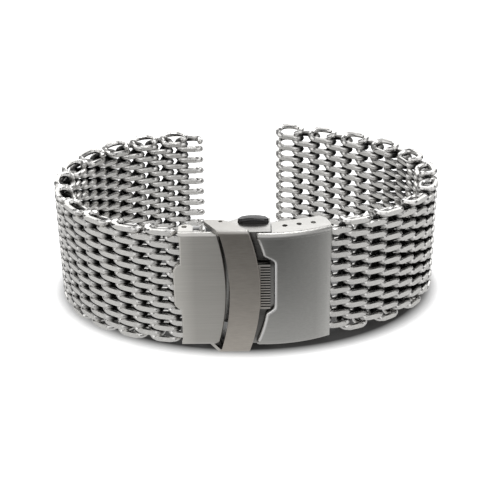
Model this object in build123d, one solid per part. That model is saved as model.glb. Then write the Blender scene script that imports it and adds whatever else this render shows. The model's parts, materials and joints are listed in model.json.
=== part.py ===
from build123d import *
import os
from math import asin, cos, degrees, hypot, pi, radians, sin, sqrt

# Woven steel watch bracelet with a three-leaf folding clasp.
# The bracelet stands on its edge as a ring: Z is the band's width, -Y is the
# outside of the clasp, and the watch would sit in the gap at the back.
# All lengths are in millimetres.

# Height of the whole bracelet, as half of the safety bar's length
BAR_HALF_HEIGHT = 11.75

# Mesh coils
MESH_INSET = 1.31
COIL_TURNS = 9
COIL_PITCH = 2 * (BAR_HALF_HEIGHT - MESH_INSET) / COIL_TURNS
WIRE_WIDTH = 0.86
WIRE_HEIGHT = 0.80
OUTER_REACH = 2.25
INNER_REACH = 2.10
COIL_HALF_DEPTH = 1.25
ROUND_END_LENGTH = 1.00
ROUND_END_SHARE = 0.40
ROUND_CLIMB_SHARE = 0.12
CLOSING_LENGTH_SHARE = 0.72
CLOSING_DROP_SHARE = 0.25

# The two halves of the band, each counted outwards from the clasp
LEFT_COILS = 23
RIGHT_COILS = 21
LEFT_SPACING = 2.96
RIGHT_SPACING = 3.33
LEFT_HEADING_DEG = 174.0
RIGHT_LEAN_DEG = 1.72
LEFT_SWEEP_DEG = -168.0
RIGHT_SWEEP_DEG = 146.0
LEFT_FULLNESS_SHARE = 0.33
RIGHT_FULLNESS_SHARE = 1.10
RIGHT_SKEW_SHARE = 0.16
BAR_TO_COIL = 1.00

# Spring bars and pins
SPRING_BAR_RADIUS = 0.70
SPRING_TIP_RADIUS = 0.40
PIN_RADIUS = 0.40
RUNNING_GAP = 0.05
SIDE_GAP = 0.10
PIN_RECESS = 0.35
OVERRUN = 2.00

# Sheets that the clasp is pressed from
SHEET = 0.80
END_SHEET = 0.65
COVER_SHEET = 0.75
FLANGE_SHEET = 0.85
EAR_SHEET = 0.75
BLADE_SHEET = 0.70
BEND_RADIUS = 0.90
BAR_BEND_RADIUS = 0.70
EDGE_ROUND = 0.20
SIDE_ROUND = 0.30
CORNER_ROUND = 0.40
COVER_BEVEL = 0.40
RIGHT_BEVEL = 0.28
TOUCH = 0.02

# Clasp heights, each half of a size across the band
END_HALF_HEIGHT = BAR_HALF_HEIGHT - EAR_SHEET - SIDE_GAP
COVER_HALF_HEIGHT = END_HALF_HEIGHT - SIDE_GAP
BLADE_MARGIN = 2.25
BLADE_HALF_HEIGHT = COVER_HALF_HEIGHT - BLADE_MARGIN

# Places of the spring bars and the three hinges, in plan
LEFT_BAR_X = -10.90
LEFT_BAR_Y = 0.10
RIGHT_BAR_X = 10.60
RIGHT_BAR_DEPTH = 2.99
BLADE_HINGE_X = 6.30
BLADE_HINGE_Y = 1.50
COVER_HINGE_X = -2.90
COVER_HINGE_Y = 0.75
SAFETY_PIN_X = -4.85
SAFETY_PIN_Y = 0.25
LUG_RADIUS = 0.50
SAFETY_PIN_RADIUS = 0.30
KNUCKLE_RADIUS = 0.75
KNUCKLE_COUNT = 5

# End piece that holds the left half of the band
END_FRONT_Y = -2.40
END_LEFT_X = -11.70
END_TAB_X = -12.90
END_TAB_RISE = 0.65
END_TAB_HALF_HEIGHT = 4.50
END_RIGHT_X = -5.50
END_RIGHT_BULGE = 1.45
END_FLANGE_LEFT_X = -11.85
END_FLANGE_LENGTH = 2.40
END_FLANGE_ROUND = 0.90
WEB_X = -8.85
STEP_WIDTH = 0.80

# Cover
COVER_RADIUS = 24.00
COVER_APEX_X = 2.50
COVER_FRONT_Y = -2.90
COVER_LEFT_X = 1.10
COVER_LEFT_BULGE = 1.90
COVER_RIGHT_X = 13.70
COVER_FLANGE_X = 3.60
COVER_FLANGE_INSET = 0.15
COVER_FLANGE_LENGTH = COVER_RIGHT_X - COVER_FLANGE_INSET - COVER_FLANGE_X
COVER_FLANGE_DEPTH = 6.90
FLANGE_EDGE_SHARES = ((0.00, 0.65), (0.12, 0.70), (0.65, 0.91), (0.82, 1.00), (0.93, 0.88), (1.00, 0.58))
FLANGE_FRONT_SHARES = (1.00, 0.50, 0.00)
ADJUST_HOLES = 3
ADJUST_SPACING = 2.45
ADJUST_ANGLE_DEG = 13.0
NOTCH_X = 4.00
NOTCH_RISE = 1.05
NOTCH_HALF_HEIGHT = 4.60
NOTCH_ROUND = 0.80
RIVET_X = 5.10
RIVET_HALF_SPACING = 5.00
RIVET_RADIUS = 0.60
COVER_BULGE_Y = COVER_FRONT_Y + COVER_RADIUS - sqrt(COVER_RADIUS ** 2 - (RIGHT_BAR_X - COVER_APEX_X) ** 2)
RIGHT_BAR_Y = COVER_BULGE_Y + RIGHT_BAR_DEPTH
RIGHT_HEADING_DEG = degrees(asin((RIGHT_BAR_X - COVER_APEX_X) / COVER_RADIUS)) - RIGHT_LEAN_DEG

# Safety bar
BAR_FRONT_Y = -3.50
BAR_LEFT_X = -5.20
BAR_LEFT_BULGE = 1.75
BAR_RIGHT_X = -0.30
BAR_RIGHT_BULGE = 2.00
BAR_REBATE_WIDTH = 0.90
BAR_REBATE_DEPTH = 0.55
EAR_LEFT_X = -7.70
EAR_LENGTH = BAR_RIGHT_X - EAR_LEFT_X
EAR_BACK_Y = 1.00
EAR_EDGE_SHARES = ((0.34, 0.00), (0.00, 0.90), (0.05, 1.00), (0.42, 0.98), (0.60, 0.80), (1.00, 0.08))
LIP_RIGHT_X = 3.35
LIP_HALF_HEIGHT = 4.25
LIP_SHEET = 0.70
LIP_STEP = 0.45
RIB_COUNT = 17
RIB_DEPTH = 0.14

# Lock frame under the safety bar, which carries the buttons
FRAME_FRONT_Y = -1.80
FRAME_LEFT_X = -4.90
FRAME_LEFT_BULGE = 1.55
FRAME_RIGHT_X = 5.90
WALL_RIGHT_X = 3.45
WALL_BACK_Y = 3.30

# Push buttons, their catches and springs
BUTTON_X = 0.60
BUTTON_Y = 2.00
BUTTON_LENGTH = 5.20
BUTTON_DEPTH = 1.80
BUTTON_STAND = 0.95
BUTTON_HALF_HEIGHT = COVER_HALF_HEIGHT + BUTTON_STAND
BUTTON_TRAVEL = 0.80
BUTTON_ROUND = 0.45
BUTTON_DOME = 9.00
STEM_SHEET = 0.50
STEM_BACK_Y = 1.60
SLIDER_LENGTH = 3.60
SLIDER_SHEET = 0.50
SLIDER_Y = -0.50
SLIDER_INNER_Z = 2.60
CATCH_Z = 4.60
CATCH_LENGTH = 1.80
CATCH_SHEET = 0.70
CATCH_NOSE = 0.60
WINDOW_MARGIN = 0.60
SPRING_WIDTH = 0.80
SPRING_SHEET = 0.22
SPRING_HALF_SPREAD = 0.80
SPRING_FOLDS = 4
SPRING_SEAT_Z = 0.50

INNER_BLADE_Y = BLADE_HINGE_Y + RUNNING_GAP
MIDDLE_BLADE_Y = BLADE_HINGE_Y - RUNNING_GAP - BLADE_SHEET


def coil_plan(rounded):
    """Corner points of one turn in plan, with the share of a half turn climbed at each.

    The outer strand runs from right to left, and the inner strand from left to right.
    """
    if not rounded:
        outer = [(OUTER_REACH, -COIL_HALF_DEPTH, 0), (-OUTER_REACH, -COIL_HALF_DEPTH, 0)]
        inner = [(-INNER_REACH, COIL_HALF_DEPTH, 0), (INNER_REACH, COIL_HALF_DEPTH, 0)]
        return outer, inner
    strand = OUTER_REACH - ROUND_END_LENGTH
    tip = COIL_HALF_DEPTH * ROUND_END_SHARE
    outer = [(OUTER_REACH, -tip, -ROUND_CLIMB_SHARE), (strand, -COIL_HALF_DEPTH, 0)]
    outer += [(-x, y, -climb) for x, y, climb in reversed(outer)]
    return outer, [(-x, -y, climb) for x, y, climb in outer]


def coil_path(upper, rounded, first, last):
    """Centre line of a coil, from half turn number first to half turn number last.

    Even half turns hold an outer strand on a lower coil, and an inner one on an upper coil.
    """
    outer, inner = coil_plan(rounded)
    points = []
    for half_turn in range(first, last + 1):
        is_outer = (half_turn % 2 == 0) != upper
        level = half_turn * COIL_PITCH / 2
        for x, y, climb in (outer if is_outer else inner):
            points.append((x, y, level + climb * COIL_PITCH / 2))
    if rounded:
        return trim_ends(points)
    return points


def trim_ends(points):
    """Drop the tip points before the first strand and after the last one."""
    return points[1:-1]


def closing_point(points):
    """End of the wire's last bend, which turns down to the strand under the top ring."""
    x, y, z = points[-1]
    target_x = -INNER_REACH
    target_y = COIL_HALF_DEPTH
    share = CLOSING_LENGTH_SHARE
    drop = CLOSING_DROP_SHARE * COIL_PITCH
    return (x + share * (target_x - x), y + share * (target_y - y), z - drop)


def wire_solid(points):
    """Closed solid of a wire of rectangular section along points, mitred in plan."""
    rings = []
    for index, point in enumerate(points):
        before = points[max(index - 1, 0)]
        after = points[min(index + 1, len(points) - 1)]
        normals = []
        for start, end in ((before, point), (point, after)):
            length = hypot(end[0] - start[0], end[1] - start[1])
            if length > 0:
                normals.append(((start[1] - end[1]) / length, (end[0] - start[0]) / length))
        first, second = normals[0], normals[-1]
        spread = 1 + first[0] * second[0] + first[1] * second[1]
        mitre_x = (first[0] + second[0]) / spread * WIRE_WIDTH / 2
        mitre_y = (first[1] + second[1]) / spread * WIRE_WIDTH / 2
        low = point[2] - WIRE_HEIGHT / 2
        high = point[2] + WIRE_HEIGHT / 2
        left = (point[0] + mitre_x, point[1] + mitre_y)
        right = (point[0] - mitre_x, point[1] - mitre_y)
        rings.append([(*left, low), (*right, low), (*right, high), (*left, high)])
    faces = [polygon_face(rings[0]), polygon_face(rings[-1])]
    for here, there in zip(rings, rings[1:]):
        flat = here[0][2] == there[0][2]
        for side in range(4):
            following = (side + 1) % 4
            corners = [here[side], here[following], there[following], there[side]]
            if flat or side in (1, 3):
                faces.append(polygon_face(corners))
            else:
                faces.append(polygon_face(corners[:3]))
                faces.append(polygon_face([corners[0], corners[2], corners[3]]))
    return Solid(Shell(faces))


def polygon_face(corners):
    """Flat face through a closed loop of corners."""
    return Face(Wire.make_polygon([Vector(*corner) for corner in corners], close=True))


def coil_solid(upper, rounded, first, last):
    """One coil of the mesh, with its mid height at zero."""
    points = coil_path(upper, rounded, first, last)
    if last == 2 * COIL_TURNS:
        points.append(closing_point(points))
    middle = COIL_TURNS * COIL_PITCH / 2
    return Pos(0, 0, -middle) * wire_solid(points)


def chain(bar_x, bar_y, heading, sweep, spacing, count, fullness, skew):
    """Centres and headings of a half's coils, outwards from its spring bar.

    The turn at each hinge follows a sine raised to fullness, leaning by skew.
    """
    shares = []
    for joint in range(count - 1):
        along = (joint + 0.5) / (count - 1)
        shares.append(sin(pi * along) ** fullness * (1 + skew * cos(pi * along)))
    headings = [heading]
    for share in shares:
        headings.append(headings[-1] + sweep * share / sum(shares))
    x = bar_x + BAR_TO_COIL * cos(radians(heading))
    y = bar_y + BAR_TO_COIL * sin(radians(heading))
    places = [(x, y, heading)]
    for before, after in zip(headings, headings[1:]):
        middle = radians((before + after) / 2)
        x += spacing * cos(middle)
        y += spacing * sin(middle)
        places.append((x, y, after))
    return places


def plan_plate(edges, low, high):
    """Plate whose outline is given in plan, from height low to height high."""
    face = make_face(edges)
    return Pos(0, 0, low) * extrude(face, amount=high - low, dir=(0, 0, 1))


def plan_outline(points):
    """Closed outline in plan through points."""
    return Polyline(*points, close=True)


def front_plate(edges, front, depth):
    """Plate whose outline is drawn on the front in X and Z, from y front back to front + depth."""
    return Pos(0, front, 0) * extrude(make_face(edges), amount=depth, dir=(0, 1, 0))


def bow(x, bulge, half_height):
    """Edge in the front plane, from the top at x through x + bulge to the bottom at x."""
    if bulge == 0:
        return Line((x, 0, half_height), (x, 0, -half_height))
    top = (x, 0, half_height)
    middle = (x + bulge, 0, 0)
    bottom = (x, 0, -half_height)
    return ThreePointArc(top, middle, bottom)


def bowed_outline(left_x, left_bulge, right_x, right_bulge, half_height):
    """Outline between two bowed edges and two straight ones."""
    left = bow(left_x, left_bulge, half_height)
    right = bow(right_x, right_bulge, half_height)
    top = Line((left_x, 0, half_height), (right_x, 0, half_height))
    bottom = Line((left_x, 0, -half_height), (right_x, 0, -half_height))
    return left + right + top + bottom


def upright(x, y, radius, low, high):
    """Upright cylinder at x and y, from height low to height high."""
    return Pos(x, y, (low + high) / 2) * Cylinder(radius, high - low)


def both_sides(shape):
    """A shape and its mirror image in the band's mid plane."""
    return shape + mirror(shape, about=Plane.XY)


def box_between(low, high):
    """Box between two opposite corners."""
    size = [b - a for a, b in zip(low, high)]
    return Pos(*[(a + b) / 2 for a, b in zip(low, high)]) * Box(*size)


def bend_edges(shape, front, half_height):
    """Straight edges along the top and the bottom of a front face."""
    edges = []
    for edge in shape.edges():
        middle = edge @ 0.5
        if abs(middle.Y - front) < TOUCH and abs(abs(middle.Z) - half_height) < TOUCH:
            edges.append(edge)
    return edges


def bowed_edge(shape, front, half_height, place):
    """The bowed front edge of a plate, counted by place from the left."""
    edges = []
    for edge in shape.edges():
        if abs((edge @ 0.5).Y - front) < TOUCH and edge.length > half_height:
            edges.append(edge)
    return sorted(edges, key=lambda edge: (edge @ 0.5).X)[place]


def bend_waste(front, half_height, radius, left, right):
    """What a press bend of a radius takes off the top front corner of a bar."""
    low = half_height - radius
    block = box_between((left, front - radius, low), (right, front + radius, half_height + radius))
    roll = Cylinder(radius, right - left, rotation=(0, 90, 0))
    return block - Pos((left + right) / 2, front + radius, low) * roll


def spring_bar(x, y, half_height):
    """Spring bar whose tips sit in two flanges, whose outer faces are at half_height."""
    shoulder = half_height - FLANGE_SHEET - SIDE_GAP
    tip = half_height - PIN_RECESS
    bar = upright(x, y, SPRING_BAR_RADIUS, -shoulder, shoulder)
    return bar + upright(x, y, SPRING_TIP_RADIUS, -tip, tip)


def make_end_piece():
    """Flat end piece with its tab, its two flanges and its step to the inner blade."""
    outline = bowed_outline(END_LEFT_X, 0, END_RIGHT_X, END_RIGHT_BULGE, END_HALF_HEIGHT)
    plate = front_plate(outline, END_FRONT_Y, END_SHEET)
    tab_low = END_TAB_RISE - END_TAB_HALF_HEIGHT
    tab_high = END_TAB_RISE + END_TAB_HALF_HEIGHT
    tab = box_between((END_TAB_X, END_FRONT_Y, tab_low), (END_LEFT_X + STEP_WIDTH, END_FRONT_Y + END_SHEET, tab_high))
    tab = fillet(tab.edges().filter_by(Axis.Y).group_by(Axis.X)[0], END_FLANGE_ROUND)
    flange_back = LEFT_BAR_Y + SPRING_BAR_RADIUS + 2 * RUNNING_GAP
    left = END_FLANGE_LEFT_X
    right = left + END_FLANGE_LENGTH
    corners = [(left, END_FRONT_Y), (right, END_FRONT_Y), (right, flange_back), (left, flange_back)]
    flange = plan_plate(plan_outline(corners), END_HALF_HEIGHT - FLANGE_SHEET, END_HALF_HEIGHT)
    flange = fillet(flange.edges().filter_by(Axis.Z).group_by(Axis.Y)[-1], END_FLANGE_ROUND)
    flange -= upright(LEFT_BAR_X, LEFT_BAR_Y, SPRING_TIP_RADIUS + RUNNING_GAP, 0, END_HALF_HEIGHT + OVERRUN)
    piece = plate + tab + both_sides(flange)
    piece = fillet(bend_edges(piece, END_FRONT_Y, END_HALF_HEIGHT), BEND_RADIUS)
    left_edges = [edge for edge in piece.edges()
                  if abs((edge @ 0.5).Y - END_FRONT_Y) < TOUCH and (edge @ 0.5).X < END_LEFT_X + TOUCH]
    piece = fillet(left_edges, SIDE_ROUND)
    return fillet(bowed_edge(piece, END_FRONT_Y, END_TAB_HALF_HEIGHT, -1), EDGE_ROUND)


def knuckles(x, y, half_height, odd):
    """Every second knuckle of a hinge along a pin at x and y, less the running gaps."""
    pitch = 2 * half_height / KNUCKLE_COUNT
    shapes = []
    for index in range(KNUCKLE_COUNT):
        if (index % 2 == 1) == odd:
            low = -half_height + index * pitch + SIDE_GAP / 2
            shapes.append(upright(x, y, KNUCKLE_RADIUS, low, low + pitch - SIDE_GAP))
    return shapes


def knuckle_room(x, y, half_height, odd):
    """Room cut for the other leaf's knuckles at a hinge."""
    pitch = 2 * half_height / KNUCKLE_COUNT
    radius = KNUCKLE_RADIUS + SIDE_GAP
    shapes = []
    for index in range(KNUCKLE_COUNT):
        if (index % 2 == 1) == odd:
            low = -half_height + index * pitch - SIDE_GAP / 2
            shapes.append(box_between((x - radius, y - radius, low), (x + radius, y + radius, low + pitch + SIDE_GAP)))
    return shapes


def make_inner_blade():
    """Blade next to the wrist, with its step up to the end piece, two catches and hinge knuckles."""
    half = BLADE_HALF_HEIGHT
    blade = box_between((WEB_X, INNER_BLADE_Y, -half), (BLADE_HINGE_X, INNER_BLADE_Y + BLADE_SHEET, half))
    step_top = END_FRONT_Y + END_SHEET
    blade += box_between((WEB_X, step_top, -half), (WEB_X + STEP_WIDTH, INNER_BLADE_Y + BLADE_SHEET, half))
    for room in knuckle_room(BLADE_HINGE_X, BLADE_HINGE_Y, half, True):
        blade -= room
    for knuckle in knuckles(BLADE_HINGE_X, BLADE_HINGE_Y, half, False):
        blade += knuckle
    blade -= upright(BLADE_HINGE_X, BLADE_HINGE_Y, PIN_RADIUS, -half - OVERRUN, half + OVERRUN)
    return blade + both_sides(make_catch())


def make_catch():
    """Catch that stands on the inner blade, with a nose over the button's slider."""
    left = BUTTON_X - CATCH_LENGTH / 2
    right = BUTTON_X + CATCH_LENGTH / 2
    top = SLIDER_Y - RUNNING_GAP - CATCH_NOSE / 2
    post = box_between((left, top, CATCH_Z), (right, INNER_BLADE_Y, CATCH_Z + CATCH_SHEET))
    nose_low = CATCH_Z - CATCH_NOSE
    return post + box_between((left, top, nose_low), (right, SLIDER_Y - RUNNING_GAP, CATCH_Z))


def make_middle_blade():
    """Middle leaf between the two blade hinges, open round the catches."""
    half = BLADE_HALF_HEIGHT
    blade = box_between((COVER_HINGE_X, MIDDLE_BLADE_Y, -half), (BLADE_HINGE_X, MIDDLE_BLADE_Y + BLADE_SHEET, half))
    for room in knuckle_room(BLADE_HINGE_X, BLADE_HINGE_Y, half, False):
        blade -= room
    for room in knuckle_room(COVER_HINGE_X, COVER_HINGE_Y, half, False):
        blade -= room
    for knuckle in knuckles(BLADE_HINGE_X, BLADE_HINGE_Y, half, True):
        blade += knuckle
    for knuckle in knuckles(COVER_HINGE_X, COVER_HINGE_Y, half, True):
        blade += knuckle
    blade -= upright(BLADE_HINGE_X, BLADE_HINGE_Y, PIN_RADIUS + RUNNING_GAP, -half - OVERRUN, half + OVERRUN)
    blade -= upright(COVER_HINGE_X, COVER_HINGE_Y, PIN_RADIUS + RUNNING_GAP, -half - OVERRUN, half + OVERRUN)
    reach = CATCH_LENGTH / 2 + WINDOW_MARGIN
    low = CATCH_Z - CATCH_NOSE - WINDOW_MARGIN
    high = CATCH_Z + CATCH_SHEET + WINDOW_MARGIN
    window = box_between((BUTTON_X - reach, MIDDLE_BLADE_Y - OVERRUN, low), (BUTTON_X + reach, BLADE_HINGE_Y, high))
    return blade - both_sides(window)


def make_lock_frame():
    """Channel that carries the buttons, the safety pin and the hinge to the middle blade."""
    half = COVER_HALF_HEIGHT
    outline = bowed_outline(FRAME_LEFT_X, FRAME_LEFT_BULGE, FRAME_RIGHT_X, 0, half)
    frame = front_plate(outline, FRAME_FRONT_Y, SHEET)
    frame -= both_sides(box_between((WALL_RIGHT_X, -OVERRUN * 2, half - FLANGE_SHEET - SIDE_GAP),
                                    (FRAME_RIGHT_X + OVERRUN, OVERRUN, half + OVERRUN)))
    wall_left = SAFETY_PIN_X - LUG_RADIUS
    slot_left = BUTTON_X - BUTTON_LENGTH / 2
    corners = [(wall_left, SAFETY_PIN_Y + LUG_RADIUS), (wall_left, SAFETY_PIN_Y - LUG_RADIUS)]
    corners += [(FRAME_LEFT_X, FRAME_FRONT_Y), (WALL_RIGHT_X, FRAME_FRONT_Y)]
    corners += [(WALL_RIGHT_X, WALL_BACK_Y), (slot_left, WALL_BACK_Y)]
    wall = plan_plate(plan_outline(corners), half - FLANGE_SHEET, half)
    wall -= upright(SAFETY_PIN_X, SAFETY_PIN_Y, SAFETY_PIN_RADIUS, 0, half + OVERRUN)
    wall -= button_slot(BUTTON_LENGTH, BUTTON_DEPTH, RUNNING_GAP, 0, half + OVERRUN)
    frame += both_sides(wall)
    blade_half = BLADE_HALF_HEIGHT
    arms = []
    for knuckle in knuckles(COVER_HINGE_X, COVER_HINGE_Y, blade_half, False):
        box = knuckle.bounding_box()
        arms.append(knuckle)
        arms.append(box_between((COVER_HINGE_X - PIN_RADIUS, FRAME_FRONT_Y, box.min.Z),
                                (COVER_HINGE_X + PIN_RADIUS, COVER_HINGE_Y, box.max.Z)))
    for arm in arms:
        frame += arm
    frame -= upright(COVER_HINGE_X, COVER_HINGE_Y, PIN_RADIUS, -blade_half - OVERRUN, blade_half + OVERRUN)
    seat = box_between((BUTTON_X - SPRING_WIDTH, FRAME_FRONT_Y, -SPRING_SEAT_Z),
                       (BUTTON_X + SPRING_WIDTH, SLIDER_Y + SLIDER_SHEET, SPRING_SEAT_Z))
    frame += seat
    for side in (-1, 1):
        hole = Cylinder(RIVET_RADIUS + RUNNING_GAP, OVERRUN * 2, rotation=(90, 0, 0))
        frame -= Pos(RIVET_X, FRAME_FRONT_Y, side * RIVET_HALF_SPACING) * hole
    return frame


def button_slot(length, depth, gap, low, high):
    """Upright slot with round ends, as a solid for a button or for its hole."""
    radius = depth / 2 + gap
    half = length / 2 - depth / 2
    body = box_between((BUTTON_X - half, BUTTON_Y - radius, low), (BUTTON_X + half, BUTTON_Y + radius, high))
    for side in (-1, 1):
        body += upright(BUTTON_X + side * half, BUTTON_Y, radius, low, high)
    return body


def make_button():
    """Upper push button: its cap, its stem and the slider whose window holds the catch."""
    half = COVER_HALF_HEIGHT
    inner = half - FLANGE_SHEET
    cap = button_slot(BUTTON_LENGTH, BUTTON_DEPTH, 0, inner, BUTTON_HALF_HEIGHT)
    roll = Cylinder(BUTTON_DOME, BUTTON_LENGTH, rotation=(90, 0, 0))
    cap &= Pos(BUTTON_X, BUTTON_Y, BUTTON_HALF_HEIGHT - BUTTON_DOME) * roll
    rim = [edge for edge in cap.edges() if (edge @ 0.5).Z > half + TOUCH and not edge.is_closed
           and abs((edge @ 0).Z - (edge @ 1).Z) < TOUCH]
    cap = fillet(rim, BUTTON_ROUND)
    left = BUTTON_X - SLIDER_LENGTH / 2
    right = BUTTON_X + SLIDER_LENGTH / 2
    slider = box_between((left, SLIDER_Y, SLIDER_INNER_Z), (right, SLIDER_Y + SLIDER_SHEET, inner))
    stem = box_between((left, SLIDER_Y, inner - STEM_SHEET), (right, STEM_BACK_Y, inner))
    reach = CATCH_LENGTH / 2 + WINDOW_MARGIN
    window_low = CATCH_Z - CATCH_NOSE / 2
    window_high = CATCH_Z + CATCH_SHEET + BUTTON_TRAVEL + SIDE_GAP
    window = box_between((BUTTON_X - reach, SLIDER_Y - OVERRUN, window_low), (BUTTON_X + reach, OVERRUN, window_high))
    return cap + stem + (slider - window)


def make_button_spring():
    """Folded leaf spring between the frame's seat and the upper button's slider."""
    low = SPRING_SEAT_Z + RUNNING_GAP
    high = SLIDER_INNER_Z - RUNNING_GAP
    rise = (high - low - SPRING_SHEET) / SPRING_FOLDS
    left = BUTTON_X - SPRING_HALF_SPREAD
    right = BUTTON_X + SPRING_HALF_SPREAD
    front = SLIDER_Y
    back = SLIDER_Y + SLIDER_SHEET
    spring = box_between((left, front, low), (right, back, low + SPRING_SHEET))
    for fold in range(SPRING_FOLDS):
        bottom = low + fold * rise
        side = right if fold % 2 == 0 else left + SPRING_SHEET
        spring += box_between((side - SPRING_SHEET, front, bottom), (side, back, bottom + rise + SPRING_SHEET))
        spring += box_between((left, front, bottom + rise), (right, back, bottom + rise + SPRING_SHEET))
    return spring


def make_safety_bar():
    """Bowed bar with an ear at each end and a ribbed lip to lift it by."""
    half = BAR_HALF_HEIGHT
    outline = bowed_outline(BAR_LEFT_X, BAR_LEFT_BULGE, BAR_RIGHT_X, BAR_RIGHT_BULGE, half)
    bar = front_plate(outline, BAR_FRONT_Y, SHEET - BAR_REBATE_DEPTH)
    inner_left = BAR_LEFT_X + BAR_REBATE_WIDTH
    inner_outline = bowed_outline(inner_left, BAR_LEFT_BULGE, BAR_RIGHT_X, BAR_RIGHT_BULGE, half)
    bar += front_plate(inner_outline, BAR_FRONT_Y + SHEET - BAR_REBATE_DEPTH, BAR_REBATE_DEPTH)
    depth = EAR_BACK_Y - BAR_FRONT_Y
    corners = [(EAR_LEFT_X + x * EAR_LENGTH, BAR_FRONT_Y + y * depth) for x, y in EAR_EDGE_SHARES]
    ear = plan_plate(plan_outline(corners), half - EAR_SHEET, half)
    ear_corners = [edge for edge in ear.edges().filter_by(Axis.Z) if (edge @ 0.5).Y > FRAME_FRONT_Y]
    ear = fillet(ear_corners, CORNER_ROUND)
    ear -= upright(SAFETY_PIN_X, SAFETY_PIN_Y, SAFETY_PIN_RADIUS + RUNNING_GAP, 0, half + OVERRUN)
    bar += both_sides(ear)
    bar -= both_sides(bend_waste(BAR_FRONT_Y, half, BAR_BEND_RADIUS, EAR_LEFT_X, LIP_RIGHT_X))
    lip_low = NOTCH_RISE - LIP_HALF_HEIGHT
    lip_high = NOTCH_RISE + LIP_HALF_HEIGHT
    lip_front = BAR_FRONT_Y + LIP_STEP
    lip_left = BAR_RIGHT_X + BAR_RIGHT_BULGE / 2
    lip = box_between((lip_left, lip_front, lip_low), (LIP_RIGHT_X, lip_front + LIP_SHEET, lip_high))
    pitch = 2 * LIP_HALF_HEIGHT / RIB_COUNT
    for rib in range(RIB_COUNT - 1):
        middle = lip_low + (rib + 1) * pitch
        groove_left = BAR_RIGHT_X + BAR_RIGHT_BULGE
        lip -= box_between((groove_left, lip_front - OVERRUN, middle - pitch / 4),
                           (LIP_RIGHT_X + OVERRUN, lip_front + RIB_DEPTH, middle + pitch / 4))
    return fillet(bowed_edge(bar + lip, BAR_FRONT_Y, LIP_HALF_HEIGHT, -1), EDGE_ROUND)


def cover_arc_y(x, radius):
    """Y of a circle about the cover's centre of curvature."""
    return COVER_FRONT_Y + COVER_RADIUS - sqrt(radius ** 2 - (x - COVER_APEX_X) ** 2)


def on_cover_front(edge):
    """Whether an edge lies on the cover's outer face."""
    middle = edge @ 0.5
    centre_y = COVER_FRONT_Y + COVER_RADIUS
    return abs(hypot(middle.X - COVER_APEX_X, middle.Y - centre_y) - COVER_RADIUS) < TOUCH


def make_cover():
    """Curved cover with its flanges, adjusting holes, bowed left edge and notch."""
    half = COVER_HALF_HEIGHT
    inner_radius = COVER_RADIUS - COVER_SHEET
    left = COVER_LEFT_X
    right = COVER_RIGHT_X
    middle = (left + right) / 2
    outer = ThreePointArc(*[(x, cover_arc_y(x, COVER_RADIUS)) for x in (left, middle, right)])
    inner = ThreePointArc(*[(x, cover_arc_y(x, inner_radius)) for x in (left, middle, right)])
    sides = Line(outer @ 0, inner @ 0) + Line(outer @ 1, inner @ 1)
    cover = plan_plate(outer + inner + sides, -half, half)
    right_edges = [edge for edge in cover.edges().filter_by(Axis.Z) if (edge @ 0.5).X > middle]
    cover = chamfer(right_edges, RIGHT_BEVEL)
    left_edge = bow(COVER_LEFT_X, COVER_LEFT_BULGE, half)
    left_cut = left_edge + Line((COVER_LEFT_X, 0, half), (COVER_LEFT_X, 0, -half))
    cover -= front_plate(left_cut, COVER_FRONT_Y - OVERRUN, OVERRUN * 2)
    notch = box_between((COVER_LEFT_X, COVER_FRONT_Y - OVERRUN, NOTCH_RISE - NOTCH_HALF_HEIGHT),
                        (NOTCH_X, COVER_FRONT_Y + OVERRUN, NOTCH_RISE + NOTCH_HALF_HEIGHT))
    cover -= fillet(notch.edges().filter_by(Axis.Y).group_by(Axis.X)[-1], NOTCH_ROUND)
    corners = [(COVER_FLANGE_X + x * COVER_FLANGE_LENGTH, COVER_FRONT_Y + y * COVER_FLANGE_DEPTH)
               for x, y in FLANGE_EDGE_SHARES]
    for share in FLANGE_FRONT_SHARES:
        x = COVER_FLANGE_X + share * COVER_FLANGE_LENGTH
        corners.append((x, cover_arc_y(x, inner_radius) - COVER_SHEET / 2))
    flange = plan_plate(plan_outline(corners), half - FLANGE_SHEET, half)
    flange_corners = [edge for edge in flange.edges().filter_by(Axis.Z)
                      if (edge @ 0.5).Y > COVER_FRONT_Y + COVER_FLANGE_DEPTH / 2 + TOUCH]
    flange = fillet(flange_corners, CORNER_ROUND)
    for step in range(ADJUST_HOLES):
        back = step * ADJUST_SPACING
        hole_x = RIGHT_BAR_X - back * cos(radians(ADJUST_ANGLE_DEG))
        hole_y = RIGHT_BAR_Y - back * sin(radians(ADJUST_ANGLE_DEG))
        flange -= upright(hole_x, hole_y, SPRING_TIP_RADIUS + RUNNING_GAP, 0, half + OVERRUN)
    cover += both_sides(flange)
    bends = [edge for edge in cover.edges() if on_cover_front(edge) and abs((edge @ 0.5).Z) > half - TOUCH]
    cover = fillet(bends, BEND_RADIUS)
    left_edges = [edge for edge in cover.edges() if on_cover_front(edge) and (edge @ 0.5).X < NOTCH_X + SHEET
                  and abs((edge @ 0.5).Z) < half - BEND_RADIUS - TOUCH]
    cover = fillet(left_edges, COVER_BEVEL)
    rivet_front = cover_arc_y(RIVET_X, inner_radius) - COVER_SHEET / 2
    rivet_length = FRAME_FRONT_Y + SHEET - rivet_front
    for side in (-1, 1):
        rivet = Cylinder(RIVET_RADIUS, rivet_length, rotation=(90, 0, 0))
        cover += Pos(RIVET_X, rivet_front + rivet_length / 2, side * RIVET_HALF_SPACING) * rivet
    return cover


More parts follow.
